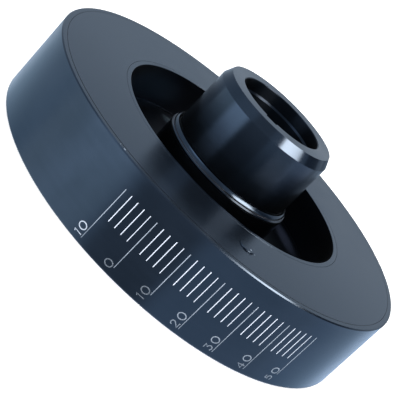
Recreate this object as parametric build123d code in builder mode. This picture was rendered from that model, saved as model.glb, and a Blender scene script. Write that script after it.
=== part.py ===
from build123d import *
import os

# Crankshaft harmonic balancer: a viscous torsional damper with a bolted-in hub.
# The axis of rotation is Z. The part lies on its pulley side: z = 0 is the front
# face of the housing, and the hub's snout points up, towards the engine. The
# keyway and the zero mark of the timing scale are both towards -Y.

os.makedirs("parts", exist_ok=True)

# ---------------------------------------------------------------- housing
outer_d = 158.75  # 6 1/4 in
ring_width = 31.4
recess_d = 98.5  # rear opening round the snout
recess_depth = 16.0
web_t = 6.4
outer_wall_t = 4.075
inner_wall_t = 4.55
channel_floor_t = 4.0
channel_corner_r = 1.0
rim_chamfer = 0.4
recess_edge_r = 0.2
recess_corner_r = 0.5
front_recess_chamfer = 0.8

# ---------------------------------------------------------------- cover plate
cover_t = 3.4
rim_land_w = 2.175  # rear face outside the cover's outer seam
recess_land_w = 1.9  # rear face inside its inner seam
seam_chamfer = 0.1  # each side of the welded seam
cover_clearance = 0.02  # on the radius, before welding

# ---------------------------------------------------------------- inertia ring
film_gap = 0.35  # silicone film, every side of the ring
ring_chamfer = 1.5
band_width = 12.0
band_t = 1.47
band_running_clearance = 0.08
band_slit = 2.0
pad_count = 6
pad_d = 9.0
pad_t = 2.25
pad_running_clearance = 0.1

# ---------------------------------------------------------------- fill plugs
plug_count = 2
plug_offset = 0.775  # inwards from the middle of the cover
plug_angle = -67.5
plug_d = 6.0
plug_length = 3.6
plug_proud = 0.4  # its head above the cover
plug_edge_r = 0.2
plug_clearance = 0.02  # on the radius

# ---------------------------------------------------------------- hub
flange_edge_w = 3.0  # flange outside the screw heads' seats
flange_gap = 0.75  # round the flange, in the housing's front recess
flange_sink = 0.6  # flange face behind the housing's front face
flange_chamfer = 0.6
collar_step = 2.3  # collar that centres the hub in the web, beyond the snout
collar_clearance = 0.02
collar_drop = 1.35  # collar's lip below the rear face
lip_w = 1.45  # collar's shoulder, from its side in to its lip
lip_h = 2.05  # and up to it
shoulder_bevel_w = 0.35  # bevel at the shoulder's foot
shoulder_bevel_h = 0.5
shoulder_step_w = 0.15  # step between the bevel and the round above it
shoulder_step_h = 0.35
shoulder_bulge = 0.135  # round's height over its chord
relief_depth = 2.65  # grinding relief between the lip and the snout
snout_d = 50.4
snout_length = 24.75  # beyond the rear face
snout_chamfer_w = 1.7
snout_chamfer_h = 3.65
bore_d = 34.0
lead_in_step = 0.7
lead_in_depth = 4.6
bore_edge_chamfer = 0.3
keyway_w = 4.76  # 3/16 in
keyway_depth = 2.2  # beyond the bore's wall
bolt_seat_d = 45.0
bolt_seat_depth = 6.0
pulley_hole_count = 3
pulley_circle_d = 66.68  # 2 5/8 in
pulley_hole_d = 8.0  # tapping size for 3/8-16
pulley_hole_angle = 90.0

# ---------------------------------------------------------------- hub fasteners
screw_count = 6
fastener_circle_d = 78.0
screw_d = 6.0
screw_in_web = 4.7
screw_head_d = 10.0
screw_head_h = 4.0
screw_socket_af = 4.0
screw_socket_depth = 2.3
screw_head_chamfer = 0.4
screw_seat_d = 11.0
screw_seat_depth = 5.1
screw_hole_clearance = 0.2  # on the radius, through the flange
thread_clearance = 0.02  # on the radius, in the web
screw_hole_extra = 0.5  # drilled past the screw's tip
dowel_angles = (30.0, 150.0)
dowel_d = 6.0
dowel_in_web = 4.6
dowel_in_flange = 5.9
dowel_chamfer = 0.4
dowel_hole_extra = 0.3

# ---------------------------------------------------------------- derived places
outer_r = outer_d / 2
recess_r = recess_d / 2
rear_z = ring_width
web_top_z = rear_z - recess_depth
web_bottom_z = web_top_z - web_t
ledge_z = rear_z - cover_t
cover_or = outer_r - rim_land_w
cover_ir = recess_r + recess_land_w
channel_or = outer_r - outer_wall_t
channel_ir = recess_r + inner_wall_t
plug_circle_r = (cover_or + cover_ir) / 2 - plug_offset

ring_or = channel_or - film_gap
ring_ir = channel_ir + film_gap
ring_bottom_z = channel_floor_t + film_gap
ring_top_z = ledge_z - film_gap
ring_mid_z = (ring_bottom_z + ring_top_z) / 2
band_ir = channel_ir + band_running_clearance
band_or = band_ir + band_t
pad_circle_r = (ring_or + ring_ir) / 2
pad_rear_z = ledge_z - pad_running_clearance
pad_front_z = channel_floor_t + pad_running_clearance

fastener_circle_r = fastener_circle_d / 2
flange_r = fastener_circle_r + screw_seat_d / 2 + flange_edge_w
front_recess_r = flange_r + flange_gap
snout_r = snout_d / 2
collar_r = snout_r + collar_step
collar_bore_r = collar_r + collar_clearance
bore_r = bore_d / 2
lead_in_r = bore_r + lead_in_step
flange_z = flange_sink
bolt_seat_z = flange_z + bolt_seat_depth
collar_z = rear_z - collar_drop
relief_z = collar_z - relief_depth
shoulder_z = collar_z - lip_h
shoulder_step_z = shoulder_z + shoulder_bevel_h
shoulder_step_r = collar_r - shoulder_bevel_w - shoulder_step_w
lip_r = collar_r - lip_w
snout_top_z = rear_z + snout_length
lead_in_z = snout_top_z - lead_in_depth
screw_seat_z = flange_z + screw_seat_depth
screw_tip_z = web_bottom_z + screw_in_web


def rings_at(part, radius, height):
    """Circular edges round the Z axis with this radius, at this height."""
    near = 0.01
    found = part.edges().filter_by(GeomType.CIRCLE)
    found = found.filter_by(lambda edge: abs(edge.radius - radius) < near)
    found = found.filter_by(lambda edge: abs(edge.arc_center.Z - height) < near)
    return found.filter_by(lambda edge: abs(edge.arc_center.X) + abs(edge.arc_center.Y) < near)


def save(name, label):
    """Labels a finished sub-part and writes its STEP file."""
    name.part.label = label
    export_step(name.part, f"parts/{label}.step")


# ---------------------------------------------------------------- housing
# One turned steel shell: outer wall, channel for the inertia ring, inner wall and web.
with BuildPart() as housing:
    with BuildSketch(Plane.XZ) as housing_section:
        with BuildLine():
            Polyline(
                (front_recess_r, 0),
                (outer_r, 0),
                (outer_r, rear_z),
                (cover_or + cover_clearance, rear_z),
                (cover_or + cover_clearance, ledge_z),
                (channel_or, ledge_z),
                (channel_or, channel_floor_t),
                (channel_ir, channel_floor_t),
                (channel_ir, ledge_z),
                (cover_ir - cover_clearance, ledge_z),
                (cover_ir - cover_clearance, rear_z),
                (recess_r, rear_z),
                (recess_r, web_top_z),
                (collar_bore_r, web_top_z),
                (collar_bore_r, web_bottom_z),
                (front_recess_r, web_bottom_z),
                close=True,
            )
        make_face()
    revolve(axis=Axis.Z)
    chamfer(rings_at(housing, outer_r, 0) + rings_at(housing, outer_r, rear_z), rim_chamfer)
    chamfer(
        rings_at(housing, cover_or + cover_clearance, rear_z)
        + rings_at(housing, cover_ir - cover_clearance, rear_z),
        seam_chamfer,
    )
    chamfer(rings_at(housing, front_recess_r, 0), front_recess_chamfer)
    fillet(rings_at(housing, recess_r, rear_z), recess_edge_r)
    fillet(rings_at(housing, recess_r, web_top_z), recess_corner_r)
    fillet(
        rings_at(housing, channel_or, channel_floor_t)
        + rings_at(housing, channel_ir, channel_floor_t),
        channel_corner_r,
    )
    # Tapped holes for the hub's screws and reamed holes for its dowels, from the front.
    with BuildSketch(Plane.XY.offset(web_bottom_z)):
        with PolarLocations(fastener_circle_r, screw_count):
            Circle(screw_d / 2 + thread_clearance)
    extrude(amount=screw_in_web + screw_hole_extra, mode=Mode.SUBTRACT)
    with BuildSketch(Plane.XY.offset(web_bottom_z)):
        for angle in dowel_angles:
            with PolarLocations(fastener_circle_r, 1, start_angle=angle):
                Circle(dowel_d / 2)
    extrude(amount=dowel_in_web + dowel_hole_extra, mode=Mode.SUBTRACT)
save(housing, "housing")

# ---------------------------------------------------------------- cover plate
# Flat annular plate let into the rear of the housing, with its two filling holes.
with BuildPart() as cover_plate:
    with BuildSketch(Plane.XY.offset(ledge_z)):
        Circle(cover_or)
        Circle(cover_ir, mode=Mode.SUBTRACT)
        with PolarLocations(plug_circle_r, plug_count, start_angle=plug_angle):
            Circle(plug_d / 2 + plug_clearance, mode=Mode.SUBTRACT)
    extrude(amount=cover_t)
    chamfer(rings_at(cover_plate, cover_or, rear_z) + rings_at(cover_plate, cover_ir, rear_z), seam_chamfer)
save(cover_plate, "cover_plate")

# ---------------------------------------------------------------- inertia ring
# Heavy free ring. A groove in its bore holds the bearing band, and counterbores in
# both faces hold the thrust pads.
with BuildPart() as inertia_ring:
    with BuildSketch(Plane.XZ):
        with BuildLine():
            Polyline(
                (ring_ir, ring_bottom_z),
                (ring_or, ring_bottom_z),
                (ring_or, ring_top_z),
                (ring_ir, ring_top_z),
                (ring_ir, ring_mid_z + band_width / 2),
                (band_or, ring_mid_z + band_width / 2),
                (band_or, ring_mid_z - band_width / 2),
                (ring_ir, ring_mid_z - band_width / 2),
                close=True,
            )
        make_face()
    revolve(axis=Axis.Z)
    ring_corners = ShapeList()
    for corner_r in (ring_or, ring_ir):
        for corner_z in (ring_bottom_z, ring_top_z):
            ring_corners += rings_at(inertia_ring, corner_r, corner_z)
    chamfer(ring_corners, ring_chamfer)
    with BuildSketch(Plane.XY.offset(pad_rear_z - pad_t)):
        with PolarLocations(pad_circle_r, pad_count):
            Circle(pad_d / 2)
    extrude(amount=pad_t, mode=Mode.SUBTRACT)
    with BuildSketch(Plane.XY.offset(pad_front_z + pad_t)):
        with PolarLocations(pad_circle_r, pad_count):
            Circle(pad_d / 2)
    extrude(amount=-pad_t, mode=Mode.SUBTRACT)
save(inertia_ring, "inertia_ring")

# ---------------------------------------------------------------- radial bearing band
# Split strip sprung into the ring's groove. It runs on the channel's inner wall.
with BuildPart() as bearing_band:
    with BuildSketch(Plane.XY.offset(ring_mid_z - band_width / 2)):
        Circle(band_or)
        Circle(band_ir, mode=Mode.SUBTRACT)
        Rectangle(band_slit, 2 * band_or, align=(Align.CENTER, Align.MIN), mode=Mode.SUBTRACT)
    extrude(amount=band_width)
save(bearing_band, "bearing_band")

# ---------------------------------------------------------------- thrust pads
# Round pads pressed into both faces of the ring. They keep it off the floor and the cover.
pad_faces = {"rear": pad_rear_z - pad_t, "front": pad_front_z}
for side, pad_z in pad_faces.items():
    for index in range(pad_count):
        with BuildPart() as thrust_pad:
            with BuildSketch(Plane.XY.offset(pad_z)):
                with PolarLocations(pad_circle_r, 1, start_angle=index * 360 / pad_count):
                    Circle(pad_d / 2)
            extrude(amount=pad_t)
        save(thrust_pad, f"thrust_pad_{side}_{index + 1}")

# ---------------------------------------------------------------- fill plugs
# Plain pins driven into the two filling holes, their heads a little proud of the cover.
with BuildPart() as fill_plugs:
    with BuildSketch(Plane.XY.offset(rear_z + plug_proud - plug_length)):
        with PolarLocations(plug_circle_r, plug_count, start_angle=plug_angle):
            Circle(plug_d / 2)
    extrude(amount=plug_length)
    fillet(fill_plugs.edges().group_by(Axis.Z)[-1], plug_edge_r)
save(fill_plugs, "fill_plugs")

# ---------------------------------------------------------------- hub
# Flange, pilot collar and snout turned in one piece, bored through and keyed.
with BuildPart() as hub:
    with BuildSketch(Plane.XZ):
        with BuildLine():
            Polyline(
                (lip_r, collar_z),
                (lip_r, relief_z),
                (snout_r, relief_z),
                (snout_r, snout_top_z - snout_chamfer_h),
                (snout_r - snout_chamfer_w, snout_top_z),
                (lead_in_r, snout_top_z),
                (lead_in_r, lead_in_z),
                (bore_r, lead_in_z - lead_in_step),
                (bore_r, bolt_seat_z),
                (bolt_seat_d / 2, bolt_seat_z),
                (bolt_seat_d / 2, flange_z),
                (flange_r, flange_z),
                (flange_r, web_bottom_z),
                (collar_r, web_bottom_z),
                (collar_r, shoulder_z),
                (collar_r - shoulder_bevel_w, shoulder_step_z),
                (shoulder_step_r, shoulder_step_z),
                (shoulder_step_r, shoulder_step_z + shoulder_step_h),
            )
            SagittaArc(
                (lip_r, collar_z), (shoulder_step_r, shoulder_step_z + shoulder_step_h), shoulder_bulge
            )
        make_face()
    revolve(axis=Axis.Z)
    chamfer(rings_at(hub, lead_in_r, snout_top_z) + rings_at(hub, bore_r, bolt_seat_z), bore_edge_chamfer)
    chamfer(
        rings_at(hub, flange_r, flange_z) + rings_at(hub, bolt_seat_d / 2, flange_z), flange_chamfer
    )
    # Keyway along the whole bore, towards -Y.
    with BuildSketch(Plane.XY.offset(bolt_seat_z)):
        Rectangle(keyway_w, bore_r + keyway_depth, align=(Align.CENTER, Align.MAX))
    extrude(amount=snout_top_z - bolt_seat_z, mode=Mode.SUBTRACT)
    # Stepped holes for the screws.
    with BuildSketch(Plane.XY.offset(flange_z)):
        with PolarLocations(fastener_circle_r, screw_count):
            Circle(screw_seat_d / 2)
    extrude(amount=screw_seat_depth, mode=Mode.SUBTRACT)
    with BuildSketch(Plane.XY.offset(flange_z)):
        with PolarLocations(fastener_circle_r, screw_count):
            Circle(screw_d / 2 + screw_hole_clearance)
        with PolarLocations(pulley_circle_d / 2, pulley_hole_count, start_angle=pulley_hole_angle):
            Circle(pulley_hole_d / 2)
        for angle in dowel_angles:
            with PolarLocations(fastener_circle_r, 1, start_angle=angle):
                Circle(dowel_d / 2)
    extrude(amount=web_bottom_z - flange_z, mode=Mode.SUBTRACT)
save(hub, "hub")

# ---------------------------------------------------------------- hub screws
# Low-head socket screws, heads sunk in the flange and tips in the web.
with BuildPart() as hub_screws:
    with BuildSketch(Plane.XY.offset(screw_seat_z)):
        with PolarLocations(fastener_circle_r, screw_count):
            Circle(screw_head_d / 2)
    extrude(amount=-screw_head_h)
    chamfer(hub_screws.edges().group_by(Axis.Z)[0], screw_head_chamfer)
    with BuildSketch(Plane.XY.offset(screw_seat_z)):
        with PolarLocations(fastener_circle_r, screw_count):
            Circle(screw_d / 2)
    extrude(amount=screw_tip_z - screw_seat_z)
    chamfer(hub_screws.edges().group_by(Axis.Z)[-1], screw_head_chamfer)
    with BuildSketch(Plane.XY.offset(screw_seat_z - screw_head_h)):
        with PolarLocations(fastener_circle_r, screw_count):
            RegularPolygon(screw_socket_af / 2, 6, major_radius=False)
    extrude(amount=screw_socket_depth, mode=Mode.SUBTRACT)
save(hub_screws, "hub_screws")

# ---------------------------------------------------------------- hub dowels
# Two pins carry the torque between flange and web.
with BuildPart() as hub_dowels:
    with BuildSketch(Plane.XY.offset(web_bottom_z - dowel_in_flange)):
        for angle in dowel_angles:
            with PolarLocations(fastener_circle_r, 1, start_angle=angle):
                Circle(dowel_d / 2)
    extrude(amount=dowel_in_flange + dowel_in_web)
    dowel_ends = hub_dowels.edges().group_by(Axis.Z)
    chamfer(dowel_ends[0] + dowel_ends[-1], dowel_chamfer)
save(hub_dowels, "hub_dowels")
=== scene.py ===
import math
import bpy
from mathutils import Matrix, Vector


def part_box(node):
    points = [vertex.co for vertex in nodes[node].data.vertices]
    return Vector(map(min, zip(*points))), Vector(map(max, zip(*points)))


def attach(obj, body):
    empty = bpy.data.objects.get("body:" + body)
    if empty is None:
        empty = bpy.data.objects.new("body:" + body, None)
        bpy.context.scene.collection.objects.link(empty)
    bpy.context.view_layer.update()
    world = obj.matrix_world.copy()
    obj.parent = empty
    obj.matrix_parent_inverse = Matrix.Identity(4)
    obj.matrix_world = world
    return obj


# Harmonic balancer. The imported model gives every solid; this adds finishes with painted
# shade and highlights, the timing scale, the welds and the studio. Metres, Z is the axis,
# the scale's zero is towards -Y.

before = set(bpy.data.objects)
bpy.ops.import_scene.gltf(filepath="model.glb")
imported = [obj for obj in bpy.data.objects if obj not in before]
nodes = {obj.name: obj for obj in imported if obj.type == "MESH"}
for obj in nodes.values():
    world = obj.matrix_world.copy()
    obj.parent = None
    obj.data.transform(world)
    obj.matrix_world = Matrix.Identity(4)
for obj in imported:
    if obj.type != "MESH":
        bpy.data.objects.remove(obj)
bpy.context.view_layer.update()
mm = 0.001
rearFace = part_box("housing")[1].z
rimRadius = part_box("housing")[1].x


def onlySelect(piece):
    bpy.ops.object.select_all(action="DESELECT")
    piece.select_set(True)
    bpy.context.view_layer.objects.active = piece


def placeInMesh(piece):
    onlySelect(piece)
    bpy.ops.object.transform_apply(location=True, rotation=True, scale=True)


def applyModifiers(piece):
    onlySelect(piece)
    for modifier in list(piece.modifiers):
        bpy.ops.object.modifier_apply(modifier=modifier.name)


def joinPieces(pieces, name):
    onlySelect(pieces[0])
    for piece in pieces:
        piece.select_set(True)
    bpy.ops.object.join()
    pieces[0].name = name
    pieces[0].data.name = name
    return pieces[0]


# Node helpers. A socket is given either a value or another node's output.
def fillSockets(tree, node, inputs):
    for socket, value in inputs.items():
        if isinstance(value, bpy.types.NodeSocket):
            tree.links.new(value, node.inputs[socket])
        else:
            node.inputs[socket].default_value = value


def addNode(tree, kind, inputs=None, **settings):
    node = tree.nodes.new(kind)
    for setting, value in settings.items():
        setattr(node, setting, value)
    fillSockets(tree, node, inputs or {})
    return node


def addMath(tree, operation, first, second=0.0):
    return addNode(tree, "ShaderNodeMath", {0: first, 1: second}, operation=operation).outputs[0]


def addRange(tree, value, fromLow, fromHigh, toLow=0.0, toHigh=1.0):
    inputs = {"Value": value, "From Min": fromLow, "From Max": fromHigh, "To Min": toLow, "To Max": toHigh}
    return addNode(tree, "ShaderNodeMapRange", inputs, interpolation_type="SMOOTHSTEP").outputs["Result"]


def addMix(tree, factor, first, second):
    inputs = {"Factor": factor, 6: first, 7: second}
    return addNode(tree, "ShaderNodeMix", inputs, data_type="RGBA").outputs[2]


def addBlend(tree, factor, first, second):
    return addNode(tree, "ShaderNodeMix", {"Factor": factor, 2: first, 3: second}).outputs[0]


def addNoise(tree, place, scale, detail):
    inputs = {"Vector": place, "Scale": scale, "Detail": detail}
    return addNode(tree, "ShaderNodeTexNoise", inputs).outputs[0]


def addDistance(tree, first, second=(0, 0, 0)):
    node = addNode(tree, "ShaderNodeVectorMath", {0: first, 1: second}, operation="DISTANCE")
    return node.outputs["Value"]


def newMaterial(name):
    material = bpy.data.materials.new(name)
    material.use_nodes = True
    material.node_tree.nodes.clear()
    tree = material.node_tree
    surface = addNode(tree, "ShaderNodeBsdfPrincipled")
    addNode(tree, "ShaderNodeOutputMaterial", {"Surface": surface.outputs["BSDF"]})
    return material, tree, surface


def turnedCoordinates(tree):
    # Place, and from it the distance from the axis, the height, and how far it is towards
    # the scale's zero and to the right of it, for marks that run round the axis.
    place = addNode(tree, "ShaderNodeTexCoord").outputs["Object"]
    parts = addNode(tree, "ShaderNodeSeparateXYZ", {0: place})
    flat = addNode(tree, "ShaderNodeCombineXYZ", {0: parts.outputs[0], 1: parts.outputs[1]})
    forward = addMath(tree, "MULTIPLY", parts.outputs[1], -1.0)
    return {"place": place, "radius": addDistance(tree, flat.outputs[0]), "height": parts.outputs[2],
            "forward": forward, "right": parts.outputs[0]}


def scaleTurn(degree):
    return math.radians(degree - 90)


def scalePlace(degree, along, up):
    # From a degree of the scale, a distance from the axis and a height.
    turn = scaleTurn(degree)
    return along * math.cos(turn), along * math.sin(turn), up


# Marks that a finish carries in places: nicks, painted shade, painted highlights and a
# painted glint. Each gives 1 where the mark is and 0 elsewhere.
def inBands(tree, turned, mark):
    covered = 1.0
    for measure, (low, high, soft) in mark["bands"].items():
        above = addRange(tree, turned[measure], low, low + soft)
        below = addRange(tree, turned[measure], high - soft, high, 1.0, 0.0)
        covered = addMath(tree, "MULTIPLY", addMath(tree, "MULTIPLY", above, below), covered)
    return covered


def atPoints(tree, turned, mark):
    ragged = addNoise(tree, turned["place"], *mark["grain"])
    covered = 0.0
    for size, degree, along, up in mark["points"]:
        away = addDistance(tree, turned["place"], scalePlace(degree, along, up))
        reach = addMath(tree, "MULTIPLY", ragged, size * 2)  # the noise is about a half
        covered = addMath(tree, "MAXIMUM", addMath(tree, "LESS_THAN", away, reach), covered)
    return covered


def inPatch(tree, turned, mark):
    degree, along, up = mark["place"]
    inputs = {"Vector": turned["place"], "Location": scalePlace(degree, along, up),
              "Rotation": (0, 0, scaleTurn(degree)), "Scale": mark["size"]}
    centred = addNode(tree, "ShaderNodeMapping", inputs, vector_type="TEXTURE").outputs[0]
    return addRange(tree, addDistance(tree, centred), mark["solid"], 1.0, 1.0, 0.0)


def turnedMetal(name, look):
    material, tree, surface = newMaterial(name)
    turned = turnedCoordinates(tree)
    across = addNode(tree, "ShaderNodeCombineXYZ", {0: turned["radius"], 1: turned["height"]}).outputs[0]
    blotches = addNoise(tree, turned["place"], *look["blotches"])
    bands = addNoise(tree, across, *look["bands"])
    cuts = addNoise(tree, across, *look["cuts"])
    mixed = addMath(tree, "ADD", addMath(tree, "MULTIPLY", blotches, look["blotchShare"]),
                    addMath(tree, "MULTIPLY", bands, look["bandShare"]))
    color = addMix(tree, addRange(tree, mixed, *look["colorSpread"]), look["dark"], look["light"])
    rough = addRange(tree, mixed, *look["roughSpread"], *look["roughness"])
    for mark in look["marks"]:
        covered = mark["where"](tree, turned, mark)
        color = addMix(tree, covered, color, mark["color"])
        rough = addBlend(tree, covered, rough, mark["roughness"])
    bump = addNode(tree, "ShaderNodeBump", {"Strength": look["cutStrength"], "Distance": look["cutDepth"],
                                            "Height": cuts})
    # The cuts run round the axis, so reflections are drawn out across them.
    tangent = addNode(tree, "ShaderNodeTangent", direction_type="RADIAL", axis="Z")
    fillSockets(tree, surface, {
        "Base Color": color, "Roughness": rough, "Metallic": 1.0, "Normal": bump.outputs[0],
        "Anisotropic": look["anisotropic"], "Anisotropic Rotation": look["drawnTurn"],
        "Tangent": tangent.outputs[0],
    })
    return material


def span(low, high, soft=0.1):
    # A stretch in millimetres, and how soft its ends are.
    return low * mm, high * mm, soft * mm


# Painted shade: the recess round the hub is painted darker than the rim, its web darker
# still, and the corner between web and wall darkest of all.
rearHeight = rearFace / mm  # in millimetres, as spans are
recessPaintedShade = {
    "where": inBands, "color": (0.012, 0.015, 0.021, 1), "roughness": 0.3,
    "bands": {"radius": span(-1, 49.5), "height": span(-1, rearHeight - 0.02)},
}
webPaintedShade = dict(recessPaintedShade, color=(0.006, 0.009, 0.014, 1),
                bands={"radius": span(27.7, 48.6), "height": span(10, 15.9)})
cornerPaintedShade = dict(recessPaintedShade, color=(0.003, 0.004, 0.006, 1), roughness=0.6,
                   bands={"radius": span(48.4, 49.5), "height": span(15.2, 16.2)})
# Painted highlights on the web, and a painted sheen on the recess's wall. Their sizes are
# outwards, round and up.
webPaintedHighlight = {
    "where": inPatch, "place": (128, 43 * mm, 15.4 * mm), "size": (6 * mm, 17 * mm, 3 * mm), "solid": 0.2,
    "color": (0.05, 0.055, 0.08, 1), "roughness": 0.7,
}
backWebPaintedHighlight = dict(webPaintedHighlight, place=(-132, 41 * mm, 15.4 * mm), size=(6 * mm, 5.5 * mm, 3 * mm),
                   color=(0.06, 0.08, 0.095, 1))
wallPaintedHighlight = dict(webPaintedHighlight, place=(-113, 49 * mm, 22 * mm), size=(8 * mm, 28 * mm, 12 * mm),
                color=(0.018, 0.03, 0.048, 1))
# Painted shade in the outer seam on the scale's side.
seamPaintedShade = dict(recessPaintedShade, roughness=0.5,
                 bands={"radius": span(76.75, 77.45, 0.2), "forward": span(25, 200, 45),
                        "height": span(rearHeight - 1, rearHeight + 1, 0.2)})
# Nicks down to bare steel: size, degree of the scale, distance from the axis and height.
rimNicks = {
    "where": atPoints, "grain": (2500.0, 2.0), "color": (0.8, 0.82, 0.86, 1), "roughness": 0.3,
    "points": [(0.38 * mm, -16.9, 78.3 * mm, rearFace), (0.15 * mm, -18.5, 78.3 * mm, rearFace)],
}
coverNicks = dict(rimNicks, points=[(0.16 * mm, 25.3, 64.9 * mm, rearFace)])
# The bright bare-steel spot on the plug's top is a painted glint.
plugPaintedGlint = dict(rimNicks, points=[(0.34 * mm, 23.7, 64.3 * mm, rearFace + 0.4 * mm)])
# On the hub, painted shade: the bore is painted dark, and darker still the collar's side
# just under its shoulder and the relief between lip and snout.
borePaintedShade = dict(recessPaintedShade, color=(0.018, 0.024, 0.034, 1), bands={"radius": span(-1, 18.1)})
collarPaintedShade = dict(cornerPaintedShade, bands={"radius": span(27.1, 27.7), "height": span(27.4, 28.14)})
reliefPaintedShade = dict(cornerPaintedShade, bands={"radius": span(24.9, 26.15), "height": span(27.2, 30.3)})
# The shoulder's step carries a painted sheen all round, and away from the scale its bevel
# carries a painted highlight too. On the right of the scale's side both carry painted shade instead.
stepPaintedSheen = dict(recessPaintedShade, color=(0.095, 0.10, 0.12, 1), roughness=0.6,
                bands={"radius": span(26.85, 27.3), "height": span(28.4, 28.95)})
endsPaintedHighlight = dict(recessPaintedShade, color=(0.16, 0.165, 0.185, 1), roughness=0.35,
                bands={"radius": span(26.85, 27.7), "height": span(27.9, 28.95),
                       "forward": span(-40, 15, 6)})
shadedSide = {"right": span(3, 22.5, 6), "forward": span(5, 40, 8)}
bevelPaintedShade = dict(recessPaintedShade, color=(0.018, 0.023, 0.031, 1), roughness=0.22,
                  bands=dict(shadedSide, radius=span(27.05, 27.7), height=span(27.9, 28.52)))
stepPaintedShade = dict(recessPaintedShade, color=(0.006, 0.008, 0.011, 1), roughness=0.4,
                 bands=dict(shadedSide, radius=span(26.5, 27.3), height=span(28.42, 29)))

# Noises are given by scale and detail. Later marks cover earlier ones.
# Besides the oxide's own tone, the finishes below carry the painted shade, highlights and glint.
housingFinishAndPaintedLight = {
    "dark": (0.045, 0.060, 0.081, 1), "light": (0.051, 0.067, 0.091, 1), "colorSpread": (0.35, 0.65),
    "roughness": (0.19, 0.26), "roughSpread": (0.3, 0.7), "anisotropic": 0.5, "drawnTurn": 0.25,
    "blotches": (60.0, 4.0), "blotchShare": 0.8, "bands": (900.0, 3.0), "bandShare": 0.2,
    "cuts": (9000.0, 2.0), "cutDepth": 0.004 * mm, "cutStrength": 0.6,
    "marks": [recessPaintedShade, webPaintedShade, cornerPaintedShade, webPaintedHighlight, backWebPaintedHighlight, wallPaintedHighlight, seamPaintedShade, rimNicks],
}
coverFinishAndPaintedShade = dict(housingFinishAndPaintedLight, roughness=(0.21, 0.26), marks=[seamPaintedShade, coverNicks])
plugFinishAndPaintedGlint = dict(housingFinishAndPaintedLight, roughness=(0.2, 0.26), marks=[plugPaintedGlint])
hubFinishAndPaintedLight = dict(housingFinishAndPaintedLight, roughness=(0.17, 0.21), anisotropic=0.8,
                 marks=[borePaintedShade, collarPaintedShade, stepPaintedSheen, endsPaintedHighlight, bevelPaintedShade, stepPaintedShade, reliefPaintedShade])


def plainMetal(name, look):
    material, tree, surface = newMaterial(name)
    place = addNode(tree, "ShaderNodeTexCoord").outputs["Object"]
    grain = addNoise(tree, place, *look["grain"])
    color = addMix(tree, addRange(tree, grain, *look["spread"]), look["dark"], look["light"])
    rough = addRange(tree, grain, *look["spread"], *look["roughness"])
    bump = addNode(tree, "ShaderNodeBump", {"Strength": look["strength"], "Distance": look["depth"],
                                            "Height": grain})
    fillSockets(tree, surface, {
        "Base Color": color, "Roughness": rough, "Metallic": look["metallic"], "Normal": bump.outputs[0],
    })
    return material


screwFinish = {
    "dark": (0.03, 0.034, 0.04, 1), "light": (0.055, 0.06, 0.068, 1), "roughness": (0.28, 0.4),
    "metallic": 1.0, "grain": (900.0, 5.0), "spread": (0.3, 0.7), "depth": 0.01 * mm, "strength": 0.5,
}
dowelFinish = dict(screwFinish, dark=(0.42, 0.43, 0.45, 1), light=(0.52, 0.53, 0.55, 1),
                   roughness=(0.2, 0.3))
ironFinish = dict(screwFinish, dark=(0.16, 0.16, 0.17, 1), light=(0.26, 0.26, 0.27, 1),
                  roughness=(0.45, 0.6), grain=(1500.0, 5.0), depth=0.05 * mm)
plasticFinish = dict(screwFinish, dark=(0.20, 0.11, 0.05, 1), light=(0.28, 0.16, 0.08, 1),
                     roughness=(0.4, 0.5), metallic=0.0)
weldFinish = dict(screwFinish, dark=(0.018, 0.022, 0.028, 1), light=(0.030, 0.036, 0.044, 1),
                  roughness=(0.5, 0.6), grain=(1200.0, 5.0), depth=0.02 * mm)
slotFinishes = {
    "housing_finish": turnedMetal("black_oxide_rim_and_painted_light", housingFinishAndPaintedLight),
    "cover_finish": turnedMetal("black_oxide_cover_and_painted_shade", coverFinishAndPaintedShade),
    "hub_finish": turnedMetal("black_oxide_hub_and_painted_light", hubFinishAndPaintedLight),
    "screw_steel": plainMetal("black_screw", screwFinish),
    "dowel_steel": plainMetal("ground_dowel", dowelFinish),
    "plug_steel": turnedMetal("black_plug_and_painted_glint", plugFinishAndPaintedGlint),
    "ring_iron": plainMetal("cast_iron_ring", ironFinish),
    "bearing_plastic": plainMetal("filled_bearing_plastic", plasticFinish),
}
weldBead = plainMetal("weld_bead", weldFinish)
nodeSlots = {"housing": "housing_finish", "cover_plate": "cover_finish", "hub": "hub_finish",
             "hub_screws": "screw_steel", "hub_dowels": "dowel_steel", "fill_plugs": "plug_steel",
             "inertia_ring": "ring_iron"}
for name, node in nodes.items():
    node.data.materials.clear()
    node.data.materials.append(slotFinishes[nodeSlots.get(name, "bearing_plastic")])
print("finishes are on")

# The cover is welded into the housing along two seams.
weldSeams = {
    "radii": {"outer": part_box("cover_plate")[1].x, "inner": 51.15 * mm},
    "thickness": 0.15 * mm, "sink": 0.155 * mm, "segments": 360, "beadSegments": 10,
}
for side, seamRadius in weldSeams["radii"].items():
    bpy.ops.mesh.primitive_torus_add(
        location=(0, 0, rearFace - weldSeams["sink"]),
        major_radius=seamRadius, minor_radius=weldSeams["thickness"],
        major_segments=weldSeams["segments"], minor_segments=weldSeams["beadSegments"])
    seam = bpy.context.object
    seam.name = side + "_weld"
    placeInMesh(seam)
    bpy.ops.object.shade_smooth()
    seam.data.materials.append(weldBead)
    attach(seam, "damper_body")
print("seams are welded")

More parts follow.
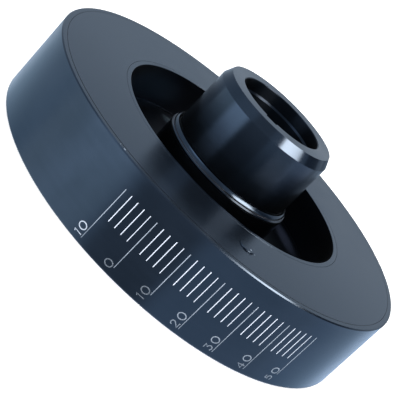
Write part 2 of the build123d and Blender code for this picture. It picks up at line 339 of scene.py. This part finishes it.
# Printed timing scale: a line every two degrees, a number every ten. Each print has its
# own colour and the colour that it wears to.
timingScale = {
    "firstDegree": -10, "lastDegree": 50, "step": 2, "labelEvery": 10,
    "top": rearFace - 7.5 * mm, "shortEnd": rearFace - 18.8 * mm, "longEnd": rearFace - 29.2 * mm,
    "shortWidth": 0.265 * mm, "lastWidth": 0.22 * mm, "longWidth": 0.24 * mm,
    "rubbedOff": {0: 1.2 * mm, 10: 3.0 * mm, 50: 3.0 * mm}, "fadedNumbers": (0, 10),
    "thickness": 0.03 * mm, "lift": 0.005 * mm, "gridLevels": 2,
    "fresh": ((0.70, 0.77, 0.90, 1), (0.42, 0.48, 0.58, 1)),
    "worn": ((0.34, 0.40, 0.49, 1), (0.18, 0.22, 0.28, 1)),
    "faded": ((0.22, 0.26, 0.32, 1), (0.11, 0.135, 0.17, 1)),
    "grain": (4000.0, 2.0), "wearSpread": (0.2, 0.5), "roughness": 0.6,
    "fadeStart": rearFace - 16.0 * mm, "fade": 0.35,
}
# Digits are drawn in millimetres: each has its width and the line that its stroke follows.
digitShape = {
    "height": 3.15, "stroke": 0.36, "gap": 1.0, "start": 2.0, "baseline": 0.6,
    "zeroWidth": 2.7, "zeroSteps": 40,
    "lines": {
        "1": (0.95, [(0.15, 2.45), (0.75, 2.95), (0.75, 0.0)]),
        "2": (2.1, [(0.2, 2.25), (0.4, 2.7), (1.0, 2.95), (1.6, 2.75), (1.8, 2.2), (1.5, 1.6), (0.2, 0.2),
                    (2.0, 0.2)]),
        "3": (2.1, [(0.2, 2.95), (1.8, 2.95), (0.95, 1.85), (1.5, 1.75), (1.9, 1.1), (1.6, 0.4), (1.0, 0.2),
                    (0.2, 0.5)]),
        "4": (2.1, [(1.5, 0.0), (1.5, 2.9), (0.15, 0.85), (2.1, 0.85)]),
        "5": (2.1, [(1.8, 2.95), (0.6, 2.95), (0.4, 1.75), (1.0, 1.95), (1.6, 1.75), (1.85, 1.1), (1.6, 0.4),
                    (1.0, 0.2), (0.2, 0.5)]),
    },
}


def printMaterial(name, paintColor, wornColor):
    material, tree, surface = newMaterial(name)
    place = addNode(tree, "ShaderNodeTexCoord").outputs["Object"]
    grain = addNoise(tree, place, *timingScale["grain"])
    height = addNode(tree, "ShaderNodeSeparateXYZ", {0: place}).outputs[2]
    faded = addRange(tree, height, timingScale["longEnd"], timingScale["fadeStart"],
                     timingScale["fade"], 0.0)
    solid = addMath(tree, "SUBTRACT", grain, faded)
    color = addMix(tree, addRange(tree, solid, *timingScale["wearSpread"]), wornColor, paintColor)
    fillSockets(tree, surface, {"Base Color": color, "Roughness": timingScale["roughness"]})
    return material


freshPrint = printMaterial("scale_print", *timingScale["fresh"])
wornPrint = printMaterial("worn_scale_print", *timingScale["worn"])
fadedPrint = printMaterial("faded_scale_print", *timingScale["faded"])
numberPrints = dict.fromkeys(timingScale["fadedNumbers"], fadedPrint)
numberPrints[timingScale["firstDegree"]] = freshPrint


def lieOnRim(piece, degree):
    # Stands a flat piece up on the rim at a degree of the scale, turns it to read towards
    # the rear, and lays it on the surface.
    piece.rotation_euler = (math.pi / 2, -math.pi / 2, math.radians(degree))
    piece.location = (0, 0, 0)
    placeInMesh(piece)
    subdivide = piece.modifiers.new("grid", "SUBSURF")
    subdivide.subdivision_type = "SIMPLE"
    subdivide.levels = subdivide.render_levels = timingScale["gridLevels"]
    wrap = piece.modifiers.new("lay", "SHRINKWRAP")
    wrap.target = nodes["housing"]
    wrap.wrap_method = "NEAREST_SURFACEPOINT"
    wrap.wrap_mode = "ABOVE_SURFACE"
    wrap.offset = timingScale["lift"]
    applyModifiers(piece)


def addTick(degree):
    long = degree % timingScale["labelEvery"] == 0
    last = (degree + timingScale["step"]) % timingScale["labelEvery"] == 0
    low = timingScale["longEnd" if long else "shortEnd"] + timingScale["rubbedOff"].get(degree, 0)
    width = timingScale["longWidth" if long else "lastWidth" if last else "shortWidth"]
    bpy.ops.mesh.primitive_plane_add(size=1, location=((low + timingScale["top"]) / 2, 0, rimRadius))
    tick = bpy.context.object
    tick.scale = (timingScale["top"] - low, width, 1)
    placeInMesh(tick)
    lieOnRim(tick, degree)
    tick.data.materials.append(wornPrint if long else freshPrint)
    return tick


ticks = []
for degree in range(timingScale["firstDegree"], timingScale["lastDegree"] + 1, timingScale["step"]):
    ticks.append(addTick(degree))
tickMarks = joinPieces(ticks, "timing_marks")


def addStroke(points, closed=False):
    curve = bpy.data.curves.new("stroke", "CURVE")
    curve.dimensions = "3D"
    curve.extrude = digitShape["stroke"] * mm / 2
    line = curve.splines.new("POLY")
    line.points.add(len(points) - 1)
    for point, (x, y) in zip(line.points, points):
        point.co = (x * mm, y * mm, 0, 1)
        point.tilt = math.pi / 2
    line.use_cyclic_u = closed
    stroke = bpy.data.objects.new("stroke", curve)
    bpy.context.collection.objects.link(stroke)
    onlySelect(stroke)
    bpy.ops.object.convert(target="MESH")
    return bpy.context.object


def addZero():
    width = digitShape["zeroWidth"]
    height = digitShape["height"]
    stroke = digitShape["stroke"]
    turns = [math.tau * step / digitShape["zeroSteps"] for step in range(digitShape["zeroSteps"])]
    oval = [(width / 2 + (width - stroke) / 2 * math.cos(turn),
             height / 2 + (height - stroke) / 2 * math.sin(turn)) for turn in turns]
    return addStroke(oval, True), width


def addDigit(digit):
    if digit == "0":
        return addZero()
    width, line = digitShape["lines"][digit]
    return addStroke(line), width


numbers = []
for degree in range(timingScale["firstDegree"], timingScale["lastDegree"] + 1, timingScale["labelEvery"]):
    along = digitShape["start"] * mm
    for digit in str(abs(degree)):
        piece, width = addDigit(digit)
        piece.location = (along, digitShape["baseline"] * mm, rimRadius)
        placeInMesh(piece)
        lieOnRim(piece, degree)
        piece.data.materials.append(numberPrints.get(degree, wornPrint))
        numbers.append(piece)
        along += (width + digitShape["gap"]) * mm
scaleNumbers = joinPieces(numbers, "timing_numbers")

for piece in (tickMarks, scaleNumbers):
    film = piece.modifiers.new("film", "SOLIDIFY")
    film.thickness = timingScale["thickness"]
    film.offset = 1
    applyModifiers(piece)
    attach(piece, "damper_body")
print("timing scale is on the rim")

# A pale floor and soft light. What the metal mirrors is a room of soft cards.
studio = {
    "floorSize": 6.0, "floorColor": (0.93, 0.93, 0.93, 1), "floorRoughness": 0.9, "floorGlow": 0.35,
    "cameraPlace": (0.017856, -0.387407, 0.145730), "cameraTurn": (64.0552, -41.3821, 20.3461),
    "lens": 99.856, "sensor": 36.0, "clipStart": 0.01,
    "roomLight": (1.0, 1.0, 1.0), "roomStrength": 1.6, "mirrored": (0.40, 0.50, 0.62),
}
# Cards that the metal mirrors: bearing from the camera's side (to the right is positive) and
# height in degrees, how soft their edges are, and their light. Later ones cover earlier ones.
cards = {
    "lowWhite": {"bearing": (-180, 180), "height": (-100, -17), "soft": (1, 6), "light": (0.60, 0.78, 1.0)},
    "rightLow": {"bearing": (100, 155), "height": (-100, -17), "soft": (12, 6), "light": (0.50, 0.74, 1.04)},
    "farLow": {"bearing": (140, 190), "height": (-100, -15), "soft": (20, 4), "light": (0.68, 0.92, 1.26)},
    "leftLow": {"bearing": (-106, -29), "height": (-100, 5), "soft": (10, 8), "light": (0.92, 1.12, 1.28)},
    "leftFade": {"bearing": (-142, -88), "height": (-100, -17), "soft": (14, 5), "light": (0.5, 0.72, 0.95)},
    "leftStep": {"bearing": (-66, -30), "height": (-15, 17), "soft": (14, 5), "light": (2.1, 2.5, 3.0)},
    "highLeft": {"bearing": (-118, -72), "height": (54, 74), "soft": (10, 6), "light": (1.4, 1.75, 2.2)},
    "cameraGap": {"bearing": (-24, 20), "height": (-40, 80), "soft": (9, 9), "light": (0.28, 0.34, 0.42)},
    "rightDark": {"bearing": (98, 127), "height": (6, 50), "soft": (3, 3), "light": (0.10, 0.14, 0.20)},
    "rightMid": {"bearing": (74, 123), "height": (-17, 3), "soft": (14, 4), "light": (0.83, 0.98, 1.22)},
    "backLow": {"bearing": (143, 182), "height": (-14, 4), "soft": (8, 4), "light": (0.16, 0.22, 0.30)},
    "backGlow": {"bearing": (165, 187), "height": (8, 14.2), "soft": (8, 2), "light": (0.57, 0.66, 0.77)},
    "window": {"bearing": (43, 85.5), "height": (25, 46), "soft": (7, 4), "light": (17.0, 15.4, 13.8)},
    "windowHead": {"bearing": (53, 97), "height": (43, 60), "soft": (8, 4), "light": (17.0, 15.4, 13.8)},
}


def addBetween(tree, angle, low, high, soft):
    # 1 where an angle in degrees lies between the two, also past the turn from 180 to -180.
    offset = addMath(tree, "SUBTRACT", angle, (low + high) / 2)
    wrapped = addNode(tree, "ShaderNodeMath", {0: offset, 1: 180.0, 2: -180.0}, operation="WRAP").outputs[0]
    half = (high - low) / 2
    return addRange(tree, addMath(tree, "ABSOLUTE", wrapped), half - soft / 2, half + soft / 2, 1.0, 0.0)


def lightRoom():
    world = bpy.data.worlds.new("studio")
    world.use_nodes = True
    bpy.context.scene.world = world
    tree = world.node_tree
    tree.nodes.clear()
    place = addNode(tree, "ShaderNodeTexCoord").outputs["Generated"]
    parts = addNode(tree, "ShaderNodeSeparateXYZ", {0: place})
    sideways = addMath(tree, "ARCTAN2", parts.outputs[0], addMath(tree, "MULTIPLY", parts.outputs[1], -1.0))
    bearing = addMath(tree, "DEGREES", sideways)
    height = addMath(tree, "DEGREES", addMath(tree, "ARCSINE", parts.outputs[2]))
    light = studio["mirrored"] + (1,)
    for card in cards.values():
        across = addBetween(tree, bearing, *card["bearing"], card["soft"][0])
        upward = addBetween(tree, height, *card["height"], card["soft"][1])
        light = addMix(tree, addMath(tree, "MULTIPLY", across, upward), light, card["light"] + (1,))
    mirrored = addNode(tree, "ShaderNodeBackground", {"Color": light})
    plain = addNode(tree, "ShaderNodeBackground", {"Color": studio["roomLight"] + (1,),
                                                   "Strength": studio["roomStrength"]})
    ray = addNode(tree, "ShaderNodeLightPath")
    chosen = addNode(tree, "ShaderNodeMixShader", {0: ray.outputs["Is Glossy Ray"], 1: plain.outputs[0],
                                                   2: mirrored.outputs[0]})
    addNode(tree, "ShaderNodeOutputWorld", {"Surface": chosen.outputs[0]})


lightRoom()
bpy.ops.mesh.primitive_plane_add(size=studio["floorSize"], location=(0, 0, 0))
floor = bpy.context.object
floor.name = "studio_floor"
floor.visible_glossy = False
paper, paperTree, paperSurface = newMaterial("floor_paper")
fillSockets(paperTree, paperSurface, {
    "Base Color": studio["floorColor"], "Roughness": studio["floorRoughness"],
    "Emission Color": studio["floorColor"], "Emission Strength": studio["floorGlow"],
})
floor.data.materials.append(paper)

camera = bpy.data.objects.new("camera", bpy.data.cameras.new("camera"))
bpy.context.collection.objects.link(camera)
camera.location = studio["cameraPlace"]
camera.rotation_euler = [math.radians(angle) for angle in studio["cameraTurn"]]
camera.data.lens = studio["lens"]
camera.data.sensor_width = studio["sensor"]
camera.data.clip_start = studio["clipStart"]
bpy.context.scene.camera = camera
bpy.context.scene.view_settings.view_transform = "Standard"
print("studio is lit")
